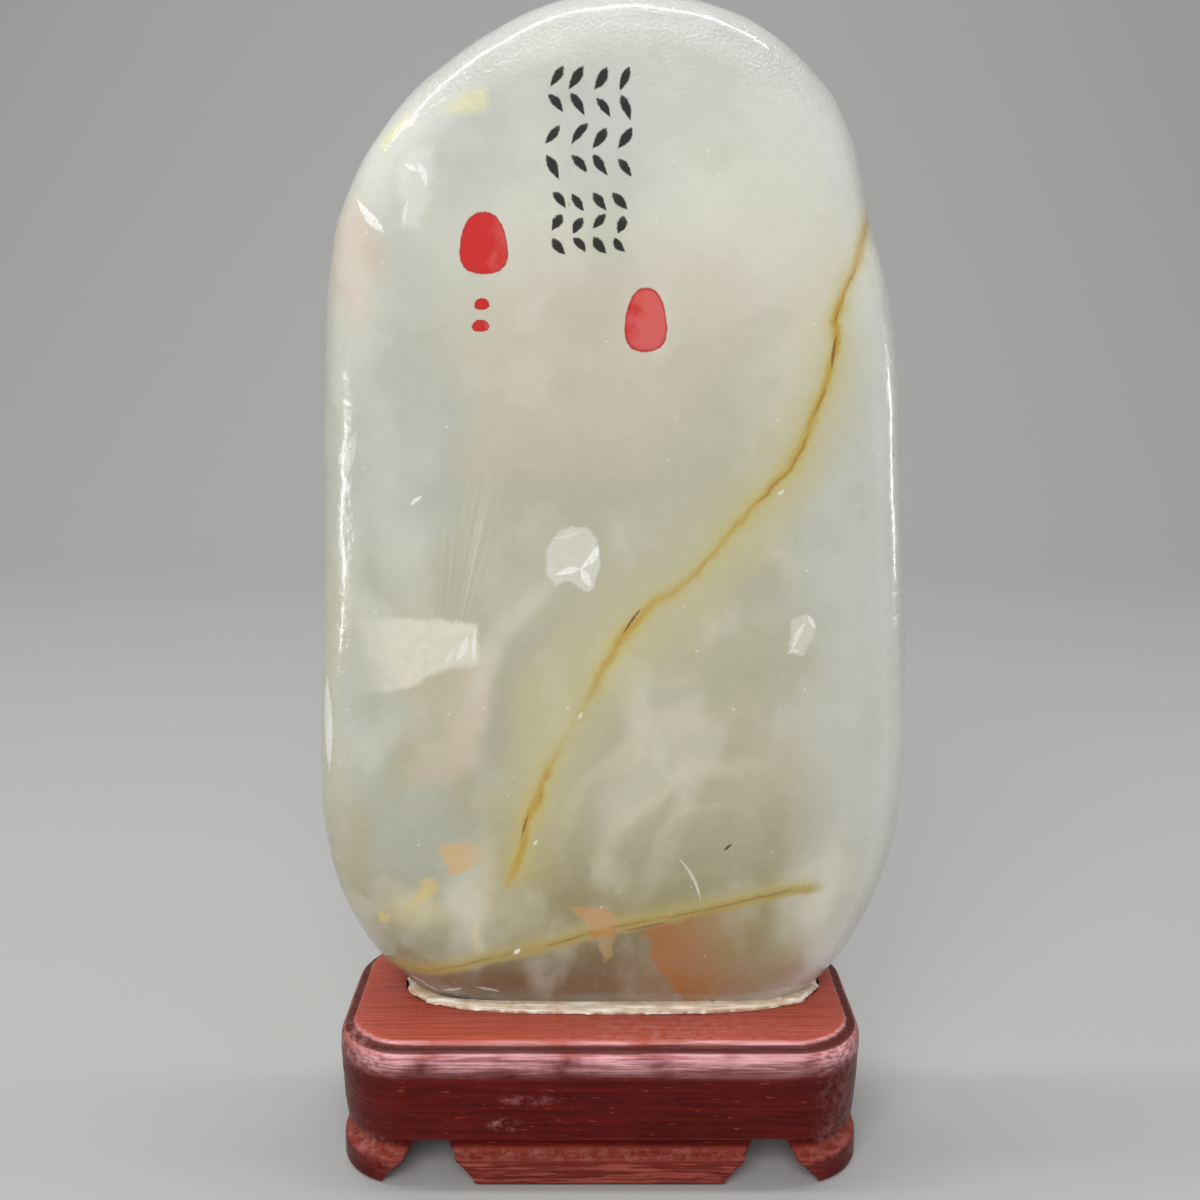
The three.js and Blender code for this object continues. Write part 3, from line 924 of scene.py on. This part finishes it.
def marks_kept(tree, name):
    """How much of a thin mark shows at each place, its colour, and the place along it."""
    along, aside, off = kept(tree, name)[0]
    tint = kept(tree, name + "_tint")[1]
    pointed = calc(tree, "SUBTRACT", 1.0, product(tree, along, along))
    left_over = calc(tree, "SUBTRACT", pointed, calc(tree, "ABSOLUTE", aside))
    left_over = calc(tree, "MULTIPLY_ADD", uneven, 0.5, left_over)
    near = rise(tree, off, 0.7, 0.4)
    shown = product(tree, rise(tree, left_over, 0.0, 0.35), near, tint["Alpha"])
    return shown, tint["Color"], along


for name in flaw_and_highlight_layers:
    shown, tint, _ = marks_kept(tree, name)
    shown = product(tree, shown, rise(tree, grit, 0.2, 0.5))
    colour = cover(tree, colour, shown, tint)
# Pale specks in the stone, the ovals' red, worn thin to pink, and the ink, thin at one end.
dots = {"Vector": place, "Scale": 0.3}
nearest_dot = put(tree, "ShaderNodeTexVoronoi", dots).outputs["Distance"]
specks = product(tree, rise(tree, nearest_dot, 0.08, 0.05), rise(tree, fine, 0.5, 0.6), 0.5)
colour = cover(tree, colour, specks, tone(240, 240, 230))
wash = mottle(tree, place, 0.35, 3, 0.6)
edge, to_right, pinkness = kept(tree, "red_ovals")[0]
there = rise(tree, calc(tree, "MULTIPLY_ADD", uneven, 0.4, edge), 0.0, 0.22)
thin = calc(tree, "MULTIPLY_ADD", wash, 2.4, calc(tree, "ADD", to_right, -1.2))
thin = calc(tree, "MULTIPLY_ADD", pinkness, 2.6, calc(tree, "ADD", thin, -1.3))
red = cover(tree, tone(204, 0, 2), rise(tree, thin, 0.0, 1.2), tone(216, 88, 86))
red = cover(tree, tone(176, 20, 24), rise(tree, edge, 0.1, 0.6), red)
colour = cover(tree, colour, product(tree, there, 0.96), red)
ink = None
for name in dab_layers:
    shown, tint, along = marks_kept(tree, name)
    thin = product(tree, rise(tree, along, 0.2, 1.1), rise(tree, wash, 0.4, 0.6), 0.45)
    colour = cover(tree, colour, shown, cover(tree, tint, thin, tone(104, 92, 72)))
    ink = shown if ink is None else calc(tree, "MAXIMUM", ink, shown)
tree.links.new(colour, shader.inputs["Base Color"])

dull = calc(tree, "MULTIPLY_ADD", fine, 0.12, 0.12)
dull = calc(tree, "MULTIPLY_ADD", ink, 0.12, dull)
dull = calc(tree, "MULTIPLY_ADD", kept(tree, "rough_foot")[0][0], 0.35, dull)
tree.links.new(dull, shader.inputs["Roughness"])
top_pits = product(tree, rise(tree, z, 198, 212), rise(tree, grit, 0.42, 0.6))
ripple = calc(tree, "MULTIPLY_ADD", top_pits, 0.8, fine)
roughen(tree, shader, ripple, 0.3, 0.0006)
shader.subsurface_method = "BURLEY"
shader.inputs["Subsurface Weight"].default_value = 0.3
shader.inputs["Subsurface Radius"].default_value = (1.0, 0.9, 0.7)
shader.inputs["Subsurface Scale"].default_value = 0.003
shader.inputs["Coat Weight"].default_value = 0.4
shader.inputs["Coat Roughness"].default_value = 0.07
stone.data.materials.append(jade)
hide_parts("jade_stone")
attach(stone, "root")

# The floor: a plain pale sweep that rises behind the object in one wide curve.
bpy.ops.object.select_all(action="DESELECT")
sweep_front, sweep_back, sweep_rise = -6, 1.3, 2.2
bpy.ops.mesh.primitive_plane_add(
    size=sweep_back - sweep_front, location=(0, (sweep_front + sweep_back) / 2, 0)
)
sweep = bpy.context.object
sweep.name = "sweep"
bpy.ops.object.transform_apply(location=True)


def choose_edges(piece, wanted):
    """Selects in edit mode the edges whose two ends are both wanted."""
    bpy.ops.object.mode_set(mode="EDIT")
    bpy.ops.mesh.select_mode(type="EDGE")
    bpy.ops.mesh.select_all(action="DESELECT")
    bpy.ops.object.mode_set(mode="OBJECT")
    ends = piece.data.vertices
    for edge in piece.data.edges:
        edge.select = all(wanted(ends[v].co) for v in edge.vertices)
    bpy.ops.object.mode_set(mode="EDIT")


choose_edges(sweep, lambda end: end.y > sweep_back - 0.01)
bpy.ops.mesh.extrude_region_move(TRANSFORM_OT_translate={"value": (0, 0, sweep_rise)})
bpy.ops.object.mode_set(mode="OBJECT")
choose_edges(sweep, lambda end: end.y > sweep_back - 0.01 and end.z < 0.01)
bpy.ops.mesh.bevel(offset=0.7, segments=32, profile=0.5)
bpy.ops.object.mode_set(mode="OBJECT")
bpy.ops.object.shade_smooth()
pale, tree, shader = new_material("pale_sweep")
shader.inputs["Base Color"].default_value = tone(172, 172, 170)
shader.inputs["Roughness"].default_value = 0.8
shader.inputs["Specular IOR Level"].default_value = 0.15
sweep.data.materials.append(pale)


# The light: a wide, shallow soft box overhead, a soft fill from the front that leaves no
# reflection in the polished face, a slim strip at each side, and one lamp for the sweep behind.
def soft_box(name, place, aim, size, power, gloss=True):
    data = bpy.data.lights.new(name, "AREA")
    data.shape = "RECTANGLE"
    data.size, data.size_y = size
    data.energy = power
    lamp = bpy.data.objects.new(name, data)
    lamp.location = place
    way = Vector(aim) - Vector(place)
    lamp.rotation_euler = way.to_track_quat("-Z", "Y").to_euler()
    lamp.visible_glossy = gloss
    scene.collection.objects.link(lamp)


soft_box("overhead", (-0.2, 0.03, 0.85), (-0.2, 0.03, 0), (1.3, 0.05), 3.6)
soft_box("front_fill", (-0.15, -0.8, 0.7), (0, 0, 0.1), (0.8, 0.6), 7.6, gloss=False)
soft_box("left_strip", (-0.5, -0.1, 0.08), (0, 0, 0.11), (0.04, 0.11), 0.2)
soft_box("right_strip", (0.55, 0.1, 0.12), (0, 0, 0.1), (0.03, 0.16), 0.22)
soft_box("backdrop_light", (0, 0.5, 1.5), (0, 1.3, 0.5), (1.6, 0.4), 9, gloss=False)
world = bpy.data.worlds.new("studio")
world.use_nodes = True
world.node_tree.nodes["Background"].inputs[0].default_value = (0.34, 0.34, 0.35, 1)
scene.world = world
scene.view_settings.view_transform = "Standard"

# The view: a camera in front of the stone, a little above its middle, looking down at the stand.
camera_data = bpy.data.cameras.new("camera")
camera_data.sensor_width = 36
camera_data.lens = 39
camera_data.clip_start = 0.01
look_down = 12.3
camera = bpy.data.objects.new("camera", camera_data)
camera.location = (0, -0.2475, 0.1664)
camera.rotation_euler = (math.radians(90 - look_down), 0, 0)
scene.collection.objects.link(camera)
scene.camera = camera
